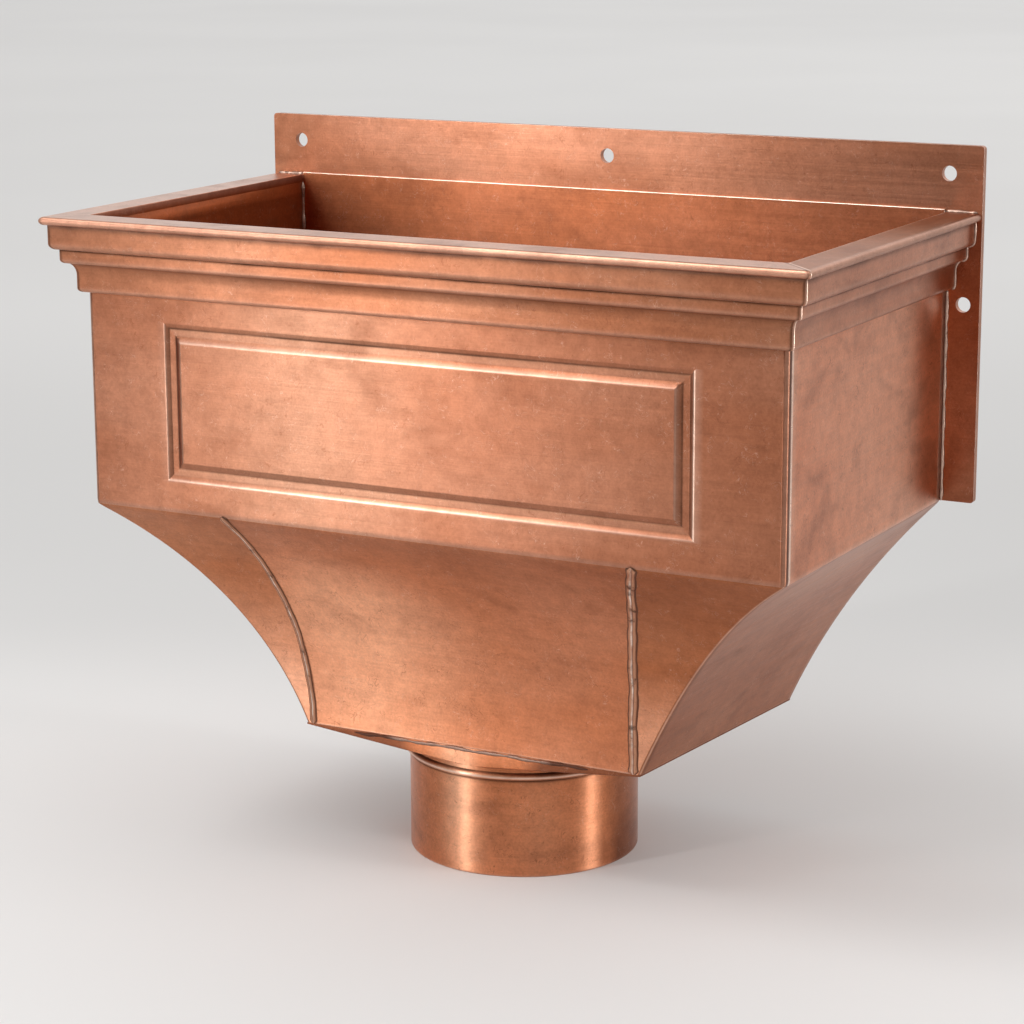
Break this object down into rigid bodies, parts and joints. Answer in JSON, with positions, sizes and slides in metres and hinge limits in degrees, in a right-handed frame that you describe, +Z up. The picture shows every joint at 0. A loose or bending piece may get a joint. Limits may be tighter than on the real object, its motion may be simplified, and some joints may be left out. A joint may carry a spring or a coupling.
{
  "type": "downpipe hopper head",
  "caption": "Copper rainwater hopper head: open box with a moulded cornice and a pressed panel, a coved funnel down to a round outlet, and a drilled plate for the wall.",
  "frame": {"origin": "on the outlet's axis, at the outlet's lower end", "axes": "+X along the width to the right seen from the front, +Y to the wall, +Z up"},
  "size_m": [0.3492, 0.1872, 0.3056],
  "materials": {
    "copper": "brushed, aged to a warm satin with brown mottling",
    "inner_copper": "satin, darker",
    "solder": "dull tin-grey, stained brown"
  },
  "bodies": {
    "root": {"wall_plate": "copper", "back_panel": "inner_copper", "front_panel": "copper", "left_side_panel": "copper", "right_side_panel": "copper", "front_rim": "copper", "left_rim": "copper", "right_rim": "copper", "front_cornice": "copper", "left_cornice": "copper", "right_cornice": "copper", "front_cove": "copper", "left_cove": "copper", "right_cove": "copper", "outlet_transition": "inner_copper", "outlet_tube": "copper", "left_cove_seam": "solder", "right_cove_seam": "solder", "left_wall_solder": "solder", "right_wall_solder": "solder", "left_inner_solder": "solder", "right_inner_solder": "solder", "left_cornice_solder": "solder", "right_cornice_solder": "solder", "left_rim_solder": "solder", "right_rim_solder": "solder", "outlet_solder": "solder"}
  },
  "joints": []
}
